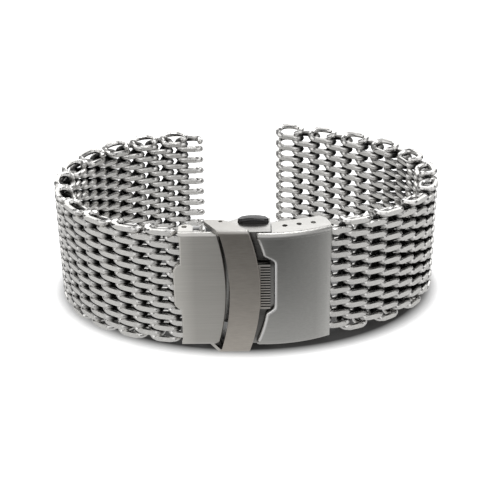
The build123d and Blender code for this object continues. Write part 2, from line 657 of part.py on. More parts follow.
def make_clasp():
    """Every piece of the clasp by name, with the band's mid plane at zero height."""
    button = make_button()
    spring = make_button_spring()
    bar_pin = upright(SAFETY_PIN_X, SAFETY_PIN_Y, SAFETY_PIN_RADIUS,
                      COVER_HALF_HEIGHT - FLANGE_SHEET, BAR_HALF_HEIGHT - PIN_RECESS)
    blade_half = BLADE_HALF_HEIGHT
    return {
        "end_piece": make_end_piece(),
        "inner_blade": make_inner_blade(),
        "middle_blade": make_middle_blade(),
        "lock_frame": make_lock_frame(),
        "cover": make_cover(),
        "safety_bar": make_safety_bar(),
        "upper_bar_pin": bar_pin,
        "lower_bar_pin": mirror(bar_pin, about=Plane.XY),
        "blade_hinge_pin": upright(BLADE_HINGE_X, BLADE_HINGE_Y, PIN_RADIUS, -blade_half, blade_half),
        "cover_hinge_pin": upright(COVER_HINGE_X, COVER_HINGE_Y, PIN_RADIUS, -blade_half, blade_half),
        "upper_push_button": button,
        "lower_push_button": mirror(button, about=Plane.XY),
        "upper_button_spring": spring,
        "lower_button_spring": mirror(spring, about=Plane.XY),
        "left_spring_bar": spring_bar(LEFT_BAR_X, LEFT_BAR_Y, END_HALF_HEIGHT),
        "right_spring_bar": spring_bar(RIGHT_BAR_X, RIGHT_BAR_Y, COVER_HALF_HEIGHT),
    }


def make_half(name, places, lower_first, turn_back):
    """Coils of one half by name, alternating between the lower and the upper kind.

    The coils next to the clasp are shorter, so that they clear its flanges.
    """
    lower = coil_solid(False, False, 0, 2 * COIL_TURNS)
    upper = coil_solid(True, False, 0, 2 * COIL_TURNS - 1)
    if lower_first:
        ends = [coil_solid(False, True, 2, 2 * COIL_TURNS - 2), coil_solid(True, False, 1, 2 * COIL_TURNS - 1)]
    else:
        ends = [coil_solid(True, True, 1, 2 * COIL_TURNS - 1)]
    coils = {}
    for index, (x, y, heading) in enumerate(places):
        is_lower = (index % 2 == 0) == lower_first
        shape = lower if is_lower else upper
        if index < len(ends):
            shape = ends[index]
        coils[f"{name}_coil_{index + 1:02d}"] = Pos(x, y, 0) * Rot(0, 0, heading - turn_back) * shape
    return coils


left_places = chain(LEFT_BAR_X, LEFT_BAR_Y, LEFT_HEADING_DEG, LEFT_SWEEP_DEG, LEFT_SPACING,
                    LEFT_COILS, LEFT_FULLNESS_SHARE, 0)
right_places = chain(RIGHT_BAR_X, RIGHT_BAR_Y, RIGHT_HEADING_DEG, RIGHT_SWEEP_DEG, RIGHT_SPACING,
                     RIGHT_COILS, RIGHT_FULLNESS_SHARE, RIGHT_SKEW_SHARE)
pieces = make_clasp()
pieces.update(make_half("left", left_places, False, 180))
pieces.update(make_half("right", right_places, True, 0))

# The origin is under the middle of the whole bracelet, at the edge it stands on
boxes = [piece.bounding_box() for piece in pieces.values()]
shift_x = -(min(box.min.X for box in boxes) + max(box.max.X for box in boxes)) / 2
shift_y = -(min(box.min.Y for box in boxes) + max(box.max.Y for box in boxes)) / 2
shift_z = -min(box.min.Z for box in boxes)

os.makedirs("parts", exist_ok=True)
for name, piece in pieces.items():
    export_step(Pos(shift_x, shift_y, shift_z) * piece, f"parts/{name}.step")
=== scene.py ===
import bpy
import json
import math
import numpy as np
from mathutils import Matrix, Vector

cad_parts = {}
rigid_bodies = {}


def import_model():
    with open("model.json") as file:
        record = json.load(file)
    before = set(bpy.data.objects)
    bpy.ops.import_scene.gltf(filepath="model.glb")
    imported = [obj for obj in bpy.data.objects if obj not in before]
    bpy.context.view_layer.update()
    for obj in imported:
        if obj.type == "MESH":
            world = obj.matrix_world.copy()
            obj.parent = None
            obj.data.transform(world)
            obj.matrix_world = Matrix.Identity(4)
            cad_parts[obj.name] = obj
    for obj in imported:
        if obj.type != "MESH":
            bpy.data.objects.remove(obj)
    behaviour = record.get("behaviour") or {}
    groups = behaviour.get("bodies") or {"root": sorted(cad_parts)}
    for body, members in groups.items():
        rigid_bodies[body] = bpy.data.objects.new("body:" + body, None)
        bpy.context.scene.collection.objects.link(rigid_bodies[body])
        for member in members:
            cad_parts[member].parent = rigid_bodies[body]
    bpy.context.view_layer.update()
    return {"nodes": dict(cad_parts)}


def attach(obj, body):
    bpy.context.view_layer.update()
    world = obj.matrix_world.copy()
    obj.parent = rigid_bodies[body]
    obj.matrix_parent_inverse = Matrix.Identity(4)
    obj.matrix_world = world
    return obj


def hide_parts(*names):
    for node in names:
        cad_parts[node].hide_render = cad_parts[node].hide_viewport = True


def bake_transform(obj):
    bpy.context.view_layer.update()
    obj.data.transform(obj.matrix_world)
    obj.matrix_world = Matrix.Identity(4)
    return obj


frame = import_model()
MM = 0.001

# ---------------------------------------------------------------------------
# Camera
# The bracelet is seen from the clasp side and a little above, through a long
# lens that stands about 190 mm in front of the ring.
# ---------------------------------------------------------------------------
CAMERA_PLACE = (0.43 * MM, -190.86 * MM, 109.02 * MM)
CAMERA_TILT_DEG = 28.15
CAMERA_ROLL_DEG = -0.57
CAMERA_LENS = 82.8
CAMERA_SENSOR = 36.0
CAMERA_CLIP = (0.005, 20.0)


def placed(name, data):
    """A new object in the scene's collection."""
    thing = bpy.data.objects.new(name, data)
    bpy.context.scene.collection.objects.link(thing)
    return thing


camera_data = bpy.data.cameras.new("camera")
camera_data.lens = CAMERA_LENS
camera_data.sensor_width = CAMERA_SENSOR
camera_data.clip_start, camera_data.clip_end = CAMERA_CLIP
camera = placed("camera", camera_data)
camera.matrix_world = (Matrix.Translation(CAMERA_PLACE)
                       @ Matrix.Rotation(math.radians(90 - CAMERA_TILT_DEG), 4, "X")
                       @ Matrix.Rotation(math.radians(CAMERA_ROLL_DEG), 4, "Z"))
bpy.context.scene.camera = camera

# ---------------------------------------------------------------------------
# Table and light
# A white table with soft light from above, behind, in front and both sides. The
# steel mirrors the table darker than it is seen, so its upright faces are grey.
# ---------------------------------------------------------------------------
TABLE_HALF = 1.2
TABLE_STEPS = 24
TABLE_ROUGHNESS = 0.75
TABLE_WHITE = 0.90
TABLE_SHADED = 0.20
TABLE_GLOW_SEEN = 0.72
TABLE_GLOW = 0.50
TABLE_GLOW_FRONT = 0.08
FRONT_CENTRE = (0.012, -0.092, 0.0)
FRONT_REACH = (0.042, 0.068, 1.0)
FRONT_SPAN = (0.4, 1.1)
RING_CENTRE = (0.0, 0.0, 0.0)
RING_REACH = (0.0350, 0.0250, 1.0)
RING_SHADED = 0.62
FOOT_SHADED = 0.07
FOOT_SPAN = (0.2, 0.85)
RIM_SPAN = (0.94, 1.05)
RIM_GLOW_SPAN = (0.94, 1.08)
ROOM_COLOUR = (0.05, 0.05, 0.0525, 1.0)

# Name, place, target, width and height in metres, and power in watts.
LIGHTS = (
    ("light_above", (0.0, 0.0, 0.85), (0.0, 0.0, 0.0), 1.0, 0.8, 1.8),
    ("light_key", (0.10, 0.15, 0.70), (0.0, 0.0, 0.0), 0.22, 0.18, 0.8),
    ("light_front", (0.0, -0.75, 0.62), (0.0, 0.0, 0.02), 1.3, 0.8, 3.2),
    ("light_behind", (0.0, 0.80, 0.45), (0.0, 0.0, 0.02), 1.4, 0.5, 4.0),
    ("light_left", (-0.60, -0.25, 0.22), (0.0, 0.0, 0.01), 0.6, 0.4, 0.9),
    ("light_right", (0.60, -0.20, 0.22), (0.0, 0.0, 0.01), 0.6, 0.4, 0.8),
)


def table_surface(half, steps):
    """A level square grid: x and y run evenly from minus half to half, and z is zero."""
    line = np.linspace(-half, half, steps + 1)
    x, y = np.meshgrid(line, line, indexing="ij")
    points = np.stack([x, y, np.zeros_like(x)], axis=-1).reshape(-1, 3)
    index = np.arange((steps + 1) ** 2).reshape(steps + 1, steps + 1)
    quads = np.stack([index[:-1, :-1], index[1:, :-1], index[1:, 1:], index[:-1, 1:]], axis=-1)
    return points, quads.reshape(-1, 4)


def new_material(name):
    """A material with its node tree and its shader."""
    material = bpy.data.materials.new(name)
    material.use_nodes = True
    return material, material.node_tree, material.node_tree.nodes["Principled BSDF"]


def ranged(tree, source, span, result):
    """Value of a socket carried over from one span to another, and held at both ends."""
    node = tree.nodes.new("ShaderNodeMapRange")
    for name, value in zip(("From Min", "From Max", "To Min", "To Max"), (*span, *result)):
        node.inputs[name].default_value = value
    tree.links.new(source, node.inputs["Value"])
    return node.outputs["Result"]


def mixed(tree, share, first, second, kind="FLOAT"):
    """Mix from first to second, each a value or a socket, by a share socket. Colours have the kind RGBA."""
    node = tree.nodes.new("ShaderNodeMix")
    node.data_type = kind
    tree.links.new(share, node.inputs["Factor"])
    for name, value in (("A", first), ("B", second)):
        if isinstance(value, bpy.types.NodeSocket):
            tree.links.new(value, node.inputs[name])
        else:
            node.inputs[name].default_value = value
    return node.outputs["Result"]


def vector_step(tree, operation, source, value=None):
    """Vector Math node on a socket, with a fixed second vector where the operation takes one."""
    node = tree.nodes.new("ShaderNodeVectorMath")
    node.operation = operation
    tree.links.new(source, node.inputs[0])
    if value is not None:
        node.inputs[1].default_value = value
    return node


def oval_distance(tree, place, centre, reach):
    """Distance from a centre in units of an oval's half axes: the length of (place - centre) / reach."""
    from_centre = vector_step(tree, "SUBTRACT", place, centre)
    shrunk = vector_step(tree, "DIVIDE", from_centre.outputs[0], reach)
    return vector_step(tree, "LENGTH", shrunk.outputs[0]).outputs["Value"]


def table_white():
    """Matt white, shaded inside the ring and most of all under the band.

    Steel meets a darker table, which is darkest in an oval in front of the clasp.
    """
    material, tree, shader = new_material("table_white")
    shader.inputs["Roughness"].default_value = TABLE_ROUGHNESS
    shader.inputs["Emission Color"].default_value = (1.0, 1.0, 1.0, 1.0)
    place = tree.nodes.new("ShaderNodeTexCoord").outputs["Object"]
    eye = tree.nodes.new("ShaderNodeLightPath").outputs["Is Camera Ray"]
    front = oval_distance(tree, place, FRONT_CENTRE, FRONT_REACH)
    ring = oval_distance(tree, place, RING_CENTRE, RING_REACH)
    under = ranged(tree, ring, FOOT_SPAN, (RING_SHADED, FOOT_SHADED))
    outside = ranged(tree, ring, RIM_SPAN, (0.0, 1.0))
    seen_white = mixed(tree, outside, under, TABLE_WHITE)
    met_white = ranged(tree, front, FRONT_SPAN, (TABLE_SHADED / 2, TABLE_SHADED))
    tree.links.new(mixed(tree, eye, met_white, seen_white), shader.inputs["Base Color"])
    seen_glow = ranged(tree, ring, RIM_GLOW_SPAN, (0.0, TABLE_GLOW_SEEN))
    met_glow = ranged(tree, front, FRONT_SPAN, (TABLE_GLOW_FRONT, TABLE_GLOW))
    tree.links.new(mixed(tree, eye, met_glow, seen_glow), shader.inputs["Emission Strength"])
    return material


table_points, table_quads = table_surface(TABLE_HALF, TABLE_STEPS)
table_mesh = bpy.data.meshes.new("table")
table_mesh.from_pydata(table_points, [], table_quads)
table = placed("table", table_mesh)
table_mesh.materials.append(table_white())

for name, place, target, width, height, power in LIGHTS:
    lamp = bpy.data.lights.new(name, "AREA")
    lamp.shape = "RECTANGLE"
    lamp.size, lamp.size_y = width, height
    lamp.energy = power
    facing = (Vector(target) - Vector(place)).to_track_quat("-Z", "Y")
    placed(name, lamp).matrix_world = Matrix.Translation(place) @ facing.to_matrix().to_4x4()

world = bpy.data.worlds.new("room")
bpy.context.scene.world = world
world.use_nodes = True
room = world.node_tree.nodes["Background"]
room.inputs["Color"].default_value = ROOM_COLOUR
room.inputs["Strength"].default_value = 1.0
bpy.context.scene.view_settings.view_transform = "Standard"

# ---------------------------------------------------------------------------
# Mesh coils
# Each coil is one stainless wire of 1.1 mm, wound to a flattened helix and
# threaded into its neighbours. After weaving, the band is ground on its outer
# face, which leaves a satin leaf on every outer strand, and lightly inside.
# ---------------------------------------------------------------------------
COIL_PITCH = 2.32
COIL_MIDDLE = 10.44
COIL_HALF_LENGTH = 2.30
COIL_HALF_DEPTH = 1.40
COIL_SQUARENESS = 2.7
COIL_CLIMB_SWING = 0.55
COIL_LINE_STEPS = 240
FIRST_COIL_HALF_LENGTH = 2.05

# First and last strand of each kind of coil; the first coils are cut short to turn between the flanges.
LOWER_STRANDS = (0, 18)
UPPER_STRANDS = (0, 17)
FIRST_LOWER_STRANDS = (2, 16)
FIRST_UPPER_STRANDS = (1, 17)

# The wire's ends, in half turns past the first and last strand, and the top ring's closing bend.
TAIL_BEFORE = 0.18
TAIL_AFTER = 0.10
TOP_CLOSING_SHARE = 0.30
TOP_CLOSING_FROM = 0.75
TOP_CLOSING_SPAN = 0.55
TOP_CLOSING_DROP = 0.35

WIRE_RADIUS = 0.55
GROUND_OUTSIDE = 1.68
GROUND_INSIDE = 1.84
GROUND_TOP = 10.84
GROUND_MARGIN = 0.004
RINGS_PER_TURN = 34
RING_ALLOWANCE = 1.3
RING_BEND_WEIGHT = 0.9
FLAT_COLUMNS = 3
ROUND_COLUMNS = 8
FLAT_LEAST = 0.16
FACING_LEAST = 0.05
WIRE_END_RINGS = ((0.36, 0.88), (0.60, 0.55))
WIRE_SHARP_DEG = 26.0
WIRE_UV_STEP = 0.32

# Depth, height and free end over which the wires get painted shade inside the band.
WIRE_SHADE_DEPTHS = (0.95, 1.56)
WIRE_SHADE_HEIGHTS = (9.3, 10.1)
WIRE_SHADE_FREE_X = (0.4, 1.2)

STREAK_DETAIL = 5.0
STREAK_ROUGHNESS = 0.62
NOISE_SPAN = (0.3, 0.7)
LEAF_DARK = (0.60, 0.59, 0.565, 1.0)
LEAF_LIGHT = (0.95, 0.94, 0.91, 1.0)
LEAF_ROUGHNESS = (0.34, 0.48)
WIRE_BRIGHT = (0.74, 0.73, 0.71, 1.0)
# Painted shade: the dark colour of the wires deep inside the band.
WIRE_PAINTED_SHADE = (0.018, 0.018, 0.017, 1.0)
WIRE_ROUGHNESS = (0.18, 0.30)
WIRE_INSIDE_ROUGHNESS = 0.55
WIRE_GRAIN = (1.3, 16.0, 1.0)
WIRE_BUMP = 0.25
WIRE_BUMP_DISTANCE = 0.02 * MM

BAND = {
    "left": {"bar": (-10.90, 0.10), "heading": 174.0, "sweep": -168.0, "spacing": 2.96, "count": 23,
             "fullness": 0.33, "skew": 0.0, "back": 180.0, "lower_first": False, "free": -1},
    "right": {"bar": (10.60, 1.498), "heading": 18.004, "sweep": 146.0, "spacing": 3.33, "count": 21,
              "fullness": 1.10, "skew": 0.16, "back": 0.0, "lower_first": True, "free": 1},
}
BAR_TO_COIL = 1.00
CLASP_SHIFT = (0.4294, -21.1604, 11.75)


def coil_centre_line(lower, strands, half_length):
    """Centre line of a flattened helix.

    In plan it is a superellipse x = a |cos|^(2/m), y = -b |sin|^(2/m) with the signs of the cosine and
    sine. The height rises evenly with the angle plus a swing of its double angle, so that strands lie
    nearly level and tips climb. Angles start at the right-hand tip, and every half turn holds one strand.
    The points are spread by length, with some more where the wire bends.
    """
    first, last = strands
    closed = strands == LOWER_STRANDS
    offset = 0 if lower else 1
    start = (first + offset - TAIL_BEFORE) * math.pi
    stop = (last + offset + 1 + TAIL_AFTER) * math.pi
    if closed:
        stop = (last + 1 + TOP_CLOSING_SHARE) * math.pi
    angle = np.linspace(start, stop, COIL_LINE_STEPS * (last - first + 2))
    c, s = np.cos(angle), np.sin(angle)
    x = half_length * np.sign(c) * np.abs(c) ** (2 / COIL_SQUARENESS)
    y = -COIL_HALF_DEPTH * np.sign(s) * np.abs(s) ** (2 / COIL_SQUARENESS)
    swing = COIL_CLIMB_SWING / (2 * math.pi) * np.sin(2 * angle)
    level = (angle - math.pi / 2 - offset * math.pi) / math.pi + swing
    z = np.clip(level, first, last) * COIL_PITCH / 2 - COIL_MIDDLE
    if closed:
        closing = (angle - (last + TOP_CLOSING_FROM) * math.pi) / (TOP_CLOSING_SPAN * math.pi)
        z = z - TOP_CLOSING_DROP * np.clip(closing, 0, 1) ** 2
    line = np.stack([x, y, z], axis=-1)
    step = np.linalg.norm(np.diff(line, axis=0), axis=1)
    heading = np.unwrap(np.arctan2(np.diff(y), np.diff(x)))
    turning = np.abs(np.gradient(heading))
    walk = np.concatenate([[0], np.cumsum(step + RING_BEND_WEIGHT * turning)])
    even = np.linspace(0, walk[-1], int(RINGS_PER_TURN * (last - first + RING_ALLOWANCE) / 2))
    return np.stack([np.interp(even, walk, line[:, axis]) for axis in range(3)], axis=-1)


def ground_wire(line):
    """Rings of a round wire along a line, cut flat by the ground faces and the top, and the length so far.

    Each ring is centre + radius (cos turn * outward + sin turn * upward). Where the wire reaches past a
    ground face, a few columns share the flat chord, whose half angle is arccos(room / radius), and the
    rest share the round back. The first and the last rings shrink to a rounded wire end.
    """
    tangent = np.gradient(line, axis=0)
    tangent /= np.linalg.norm(tangent, axis=1, keepdims=True)
    outward = np.stack([tangent[:, 1], -tangent[:, 0], np.zeros(len(line))], axis=-1)
    outward /= np.linalg.norm(outward, axis=1, keepdims=True)
    outward *= np.sign(np.sum(outward[:, :2] * line[:, :2], axis=1))[:, None]
    upward = np.cross(tangent, outward)
    upward *= np.sign(upward[:, 2])[:, None]
    limit = np.where(line[:, 1] < 0, GROUND_OUTSIDE, GROUND_INSIDE)
    facing = WIRE_RADIUS * np.maximum(np.abs(outward[:, 1]), FACING_LEAST)
    room = (limit - np.abs(line[:, 1])) / facing
    flat = np.maximum(np.arccos(np.clip(room, -1, 1)), FLAT_LEAST)[:, None]
    front = flat * np.linspace(-1, 1, FLAT_COLUMNS)
    back = flat + (2 * math.pi - 2 * flat) * np.arange(1, ROUND_COLUMNS) / ROUND_COLUMNS
    turn = np.concatenate([front, back], axis=1)[..., None]
    spokes = np.cos(turn) * outward[:, None, :] + np.sin(turn) * upward[:, None, :]
    points = line[:, None, :] + WIRE_RADIUS * spokes
    ends = []
    for end, direction in ((0, -1), (-1, 1)):
        for share_out, share_size in WIRE_END_RINGS:
            ring = line[end] + (points[end] - line[end]) * share_size
            ends.append(ring + direction * tangent[end] * WIRE_RADIUS * share_out)
    points = np.concatenate([[ends[1], ends[0]], points, [ends[2], ends[3]]])
    points[..., 1] = np.clip(points[..., 1], -GROUND_OUTSIDE, GROUND_INSIDE)
    points[..., 2] = np.clip(points[..., 2], -GROUND_TOP, GROUND_TOP)
    steps = np.linalg.norm(np.diff(points.mean(axis=1), axis=0), axis=1)
    return points, np.concatenate([[0], np.cumsum(steps)])


def ramp_down(values, span):
    """Straight ramp from 1 at the span's start to 0 at its end, held beyond both."""
    return np.clip((span[1] - values) / (span[1] - span[0]), 0, 1)


def wire_shade_shares(points, free_side):
    """How much painted shade each point gets: how deep it lies inside the band, from 0 outside to 1 in the
    middle.

    The share falls with the distance from the band's mid face, towards both side edges of the band, and
    towards the free tips of an end coil, each as a straight ramp; the three ramps are multiplied.
    """
    shares = ramp_down(np.abs(points[..., 1]), WIRE_SHADE_DEPTHS)
    shares = shares * ramp_down(np.abs(points[..., 2]), WIRE_SHADE_HEIGHTS)
    if free_side:
        shares = shares * ramp_down(free_side * points[..., 0], WIRE_SHADE_FREE_X)
    return shares


def tube_faces(rings, columns):
    """Quads between neighbouring closed rings of points, and the two end rings as caps."""
    index = np.arange(rings * columns).reshape(rings, columns)
    following = np.roll(index, -1, axis=1)
    quads = np.stack([index[:-1], following[:-1], following[1:], index[1:]], axis=-1).reshape(-1, 4)
    return quads, [index[0][::-1].tolist(), index[-1].tolist()]


def store(mesh, name, domain, values):
    """Number attribute on a mesh's points or faces."""
    layer = mesh.attributes.new(name, "FLOAT", domain)
    layer.data.foreach_set("value", np.asarray(values, dtype=np.float32).reshape(-1))


def wire_mesh(name, points, length, heading_deg, place, free_side):
    """Mesh of a wire from its rings, turned by its heading and moved to its place.

    Its map's u is the length along the wire, and v grows evenly round it.
    """
    rings, columns = points.shape[:2]
    turn = math.radians(heading_deg)
    x = points[..., 0] * math.cos(turn) - points[..., 1] * math.sin(turn) + place[0]
    y = points[..., 0] * math.sin(turn) + points[..., 1] * math.cos(turn) + place[1]
    spots = np.stack([x, y, points[..., 2] + place[2]], axis=-1).reshape(-1, 3) * MM
    quads, caps = tube_faces(rings, columns)
    mesh = bpy.data.meshes.new(name)
    mesh.from_pydata(spots.tolist(), [], quads.tolist() + caps)
    limit = np.where(points[..., 1] < 0, GROUND_OUTSIDE, GROUND_INSIDE)
    on_face = np.abs(points[..., 1]) > limit - GROUND_MARGIN
    on_top = points[..., 2] > GROUND_TOP - GROUND_MARGIN
    cut = (on_face | on_top).reshape(-1)
    store(mesh, "ground", "FACE", np.concatenate([cut[quads].all(axis=1), [False, False]]))
    # The share of painted shade on each point.
    store(mesh, "shelter", "POINT", wire_shade_shares(points, free_side))
    u, v = np.meshgrid(length, np.arange(columns) * WIRE_UV_STEP, indexing="ij")
    here = np.stack([u, v], axis=-1)
    over = np.roll(here, -1, axis=1)
    over[:, -1, 1] = columns * WIRE_UV_STEP
    corners = np.stack([here[:-1], over[:-1], over[1:], here[1:]], axis=2).reshape(-1, 2)
    corners = np.concatenate([corners, np.zeros((2 * columns, 2))])
    uv = mesh.uv_layers.new(name="wire")
    uv.data.foreach_set("uv", corners.astype(np.float32).reshape(-1))
    mesh.shade_smooth()
    mesh.set_sharp_from_angle(angle=math.radians(WIRE_SHARP_DEG))
    mesh.update()
    return mesh


def streak_group():
    """Node group of fine grinding streaks: noise stretched along one axis, as a value about one half."""
    group = bpy.data.node_groups.new("grinding_streaks", "ShaderNodeTree")
    group.interface.new_socket(name="Vector", in_out="INPUT", socket_type="NodeSocketVector")
    for name in ("Along", "Across", "Third"):
        group.interface.new_socket(name=name, in_out="INPUT", socket_type="NodeSocketFloat")
    group.interface.new_socket(name="Streaks", in_out="OUTPUT", socket_type="NodeSocketFloat")
    nodes, links = group.nodes, group.links
    source = nodes.new("NodeGroupInput")
    result = nodes.new("NodeGroupOutput")
    scales = nodes.new("ShaderNodeCombineXYZ")
    for number, name in enumerate(("Along", "Across", "Third")):
        links.new(source.outputs[name], scales.inputs[number])
    stretch = nodes.new("ShaderNodeVectorMath")
    stretch.operation = "MULTIPLY"
    links.new(source.outputs["Vector"], stretch.inputs[0])
    links.new(scales.outputs[0], stretch.inputs[1])
    fine = nodes.new("ShaderNodeTexNoise")
    fine.inputs["Scale"].default_value = 1.0
    fine.inputs["Detail"].default_value = STREAK_DETAIL
    fine.inputs["Roughness"].default_value = STREAK_ROUGHNESS
    links.new(stretch.outputs[0], fine.inputs["Vector"])
    links.new(fine.outputs["Fac"], result.inputs["Streaks"])
    return group


grinding_streaks = streak_group()


def streaked(tree, place, grain):
    """Streaks of the node group at a place, with a scale for each axis."""
    node = tree.nodes.new("ShaderNodeGroup")
    node.node_tree = grinding_streaks
    for name, scale in zip(("Along", "Across", "Third"), grain):
        node.inputs[name].default_value = scale
    tree.links.new(place, node.inputs["Vector"])
    return node.outputs["Streaks"]


def from_noise(tree, noise, result):
    """A noise's usual span carried over to another."""
    return ranged(tree, noise, NOISE_SPAN, result)


def stored(tree, name):
    """Value of a mesh's number attribute."""
    node = tree.nodes.new("ShaderNodeAttribute")
    node.attribute_name = name
    return node.outputs["Fac"]


def scratched(tree, shader, streaks, strength, distance):
    """Streaks as a bump of the shader's surface."""
    bump = tree.nodes.new("ShaderNodeBump")
    bump.inputs["Strength"].default_value = strength
    bump.inputs["Distance"].default_value = distance
    tree.links.new(streaks, bump.inputs["Height"])
    tree.links.new(bump.outputs["Normal"], shader.inputs["Normal"])


def wire_steel():
    """Drawn steel wire: bright bends, satin ground leaves with streaks along them, and painted shade inside
    the band.
    """
    material, tree, shader = new_material("mesh_wire_steel")
    shader.inputs["Metallic"].default_value = 1.0
    uv = tree.nodes.new("ShaderNodeUVMap")
    uv.uv_map = "wire"
    streaks = streaked(tree, uv.outputs["UV"], WIRE_GRAIN)
    ground, shelter = stored(tree, "ground"), stored(tree, "shelter")
    leaf = mixed(tree, from_noise(tree, streaks, (0.0, 1.0)), LEAF_DARK, LEAF_LIGHT, "RGBA")
    outside = mixed(tree, ground, WIRE_BRIGHT, leaf, "RGBA")
    tree.links.new(mixed(tree, shelter, outside, WIRE_PAINTED_SHADE, "RGBA"), shader.inputs["Base Color"])
    wire_gloss = from_noise(tree, streaks, WIRE_ROUGHNESS)
    leaf_gloss = from_noise(tree, streaks, LEAF_ROUGHNESS)
    gloss = mixed(tree, ground, wire_gloss, leaf_gloss)
    tree.links.new(mixed(tree, shelter, gloss, WIRE_INSIDE_ROUGHNESS), shader.inputs["Roughness"])
    scratched(tree, shader, streaks, WIRE_BUMP, WIRE_BUMP_DISTANCE)
    return material


def coil_places(half):
    """Centre and heading of each coil, outwards from the spring bar.

    The turn at each hinge follows a sine raised to a power and leaning by a skew, scaled to the half's
    sweep; each centre lies one spacing on from the last at the mean of the two headings.
    """
    along = (np.arange(half["count"] - 1) + 0.5) / (half["count"] - 1)
    share = np.sin(np.pi * along) ** half["fullness"] * (1 + half["skew"] * np.cos(np.pi * along))
    headings = half["heading"] + np.concatenate([[0], np.cumsum(half["sweep"] * share / share.sum())])
    middle = np.radians((headings[1:] + headings[:-1]) / 2)
    first = np.radians(half["heading"])
    spots = []
    for axis, part in enumerate((np.cos, np.sin)):
        steps = np.concatenate([[0], np.cumsum(half["spacing"] * part(middle))])
        spots.append(half["bar"][axis] + BAR_TO_COIL * part(first) + steps + CLASP_SHIFT[axis])
    return np.stack([*spots, headings], axis=-1)


def coil_kind(side, number, lower):
    """Strands and half length of a coil; the ones next to the clasp are shorter."""
    if number == 1:
        return FIRST_LOWER_STRANDS if lower else FIRST_UPPER_STRANDS, FIRST_COIL_HALF_LENGTH
    if number == 2 and side == "right":
        return FIRST_UPPER_STRANDS, COIL_HALF_LENGTH
    return LOWER_STRANDS if lower else UPPER_STRANDS, COIL_HALF_LENGTH


mesh_wire_steel = wire_steel()
coil_shapes = {}
for side, half in BAND.items():
    for number, (x, y, heading) in enumerate(coil_places(half), start=1):
        lower = (number % 2 == 1) == half["lower_first"]
        strands, half_length = coil_kind(side, number, lower)
        kind = (lower, strands, half_length)
        if kind not in coil_shapes:
            coil_shapes[kind] = ground_wire(coil_centre_line(*kind))
        points, length = coil_shapes[kind]
        node = f"{side}_coil_{number:02d}"
        free_side = half["free"] if number == half["count"] else 0
        place = (x, y, CLASP_SHIFT[2])
        mesh = wire_mesh(f"{node}_wire", points, length, heading - half["back"], place, free_side)
        mesh.materials.append(mesh_wire_steel)
        piece = placed(f"{node}_wire", mesh)
        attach(piece, f"{node}_body")
        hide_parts(node)


# ---------------------------------------------------------------------------
# Cover
# The curved right plate with its two flanges, pressed from 0.75 mm stainless
# sheet. It is brushed along the band on its face, and its level faces and bends get painted light.
# ---------------------------------------------------------------------------
SMOOTH_DEG = 38.0
LARGE_FACES_LEAD = 100
MERGE_PLACES = 1e7

# Tones that all the sheets share: painted light on level faces and bends, painted shade in marked boxes and
# a painted highlight on marked edges; and the heights between which painted light may change a sheet's
# tone.
LEVEL_PAINTED_LIGHT = (0.66, 0.65, 0.627, 1.0)
LEVEL_LIGHT_SPAN = (0.15, 0.8)
LEVEL_LIGHT_SHARE = 0.75
BOXED_SHADE_TONE = (0.035, 0.034, 0.032, 1.0)
EDGE_PAINTED_HIGHLIGHT = (0.97, 0.965, 0.95, 1.0)
STEEL_TONE_SCALE = 130.0
STEEL_TONE_DETAIL = 2.0
STEEL_TONE_SHARE = 0.35
STEEL_BUMP_DISTANCE = 0.03 * MM
PAINTED_LIGHT_HEIGHTS = (1.5 * MM, 21.5 * MM)

COVER_RADIUS = 24.00
COVER_CENTRE = (2.50, 21.10)
COVER_SHEET = 0.75
COVER_RIGHT_X = 13.70
COVER_RIGHT_BEVEL = 0.28
COVER_BEND_Z = 9.90
COVER_BEND_MARGIN = 0.01
COVER_LEFT_X = 3.00
COVER_LEFT_RADIUS = 31.6
COVER_LEFT_REACH = 0.30
COVER_LEFT_BELOW_X = 2.0
NOTCH_X = 4.00
NOTCH_RISE = 1.05
NOTCH_HALF_HEIGHT = 4.95
NOTCH_RAMP = 1.80
SLOPE_WIDENING = 1.5
SLOPE_FADE = 1.5
COVER_ROWS = 181
COVER_COLUMNS = 18

# Steps inwards from the left edge with their depths under the face, and how much painted highlight each
# gets.
BEVEL_PROFILE = ((0.10, 0.75), (0.00, 0.68), (0.00, 0.46), (0.02, 0.34), (0.06, 0.26), (0.13, 0.19),
                 (0.24, 0.125), (0.36, 0.07), (0.48, 0.025), (0.60, 0.00))
EDGE_HIGHLIGHT_SHARES = (0.0, 0.0, 0.2, 0.8, 1.0, 1.0, 1.0, 0.8, 0.4, 0.0)


def gathered(items, field, width, kind=np.float32):
    """One field of all the items, as an array with a row for each."""
    values = np.empty(len(items) * width, dtype=kind)
    items.foreach_get(field, values)
    return values.reshape(-1, width)


def in_clasp(points):
    """Points in millimetres in the clasp's own place."""
    return points / MM - np.array(CLASP_SHIFT)


def in_row(points):
    """Points of the clasp's own place in metres in the shared frame."""
    return (points + np.array(CLASP_SHIFT)) * MM


def merged_surface(node):
    """Points and triangles of a solid with its doubled points merged.

    Points that agree to a tenth of a micrometre become one, and triangles that lose a corner that way are
    dropped.
    """
    solid = frame["nodes"][node].data
    spots = gathered(solid.vertices, "co", 3, float)
    corners = gathered(solid.loops, "vertex_index", 1, np.int64).reshape(-1)
    rounded = np.round(spots * MERGE_PLACES).astype(np.int64)
    _, first, group = np.unique(rounded, axis=0, return_index=True, return_inverse=True)
    triangles = group.reshape(-1)[corners].reshape(-1, 3)
    whole = (triangles != np.roll(triangles, -1, axis=1)).all(axis=1)
    return spots[first], triangles[whole]


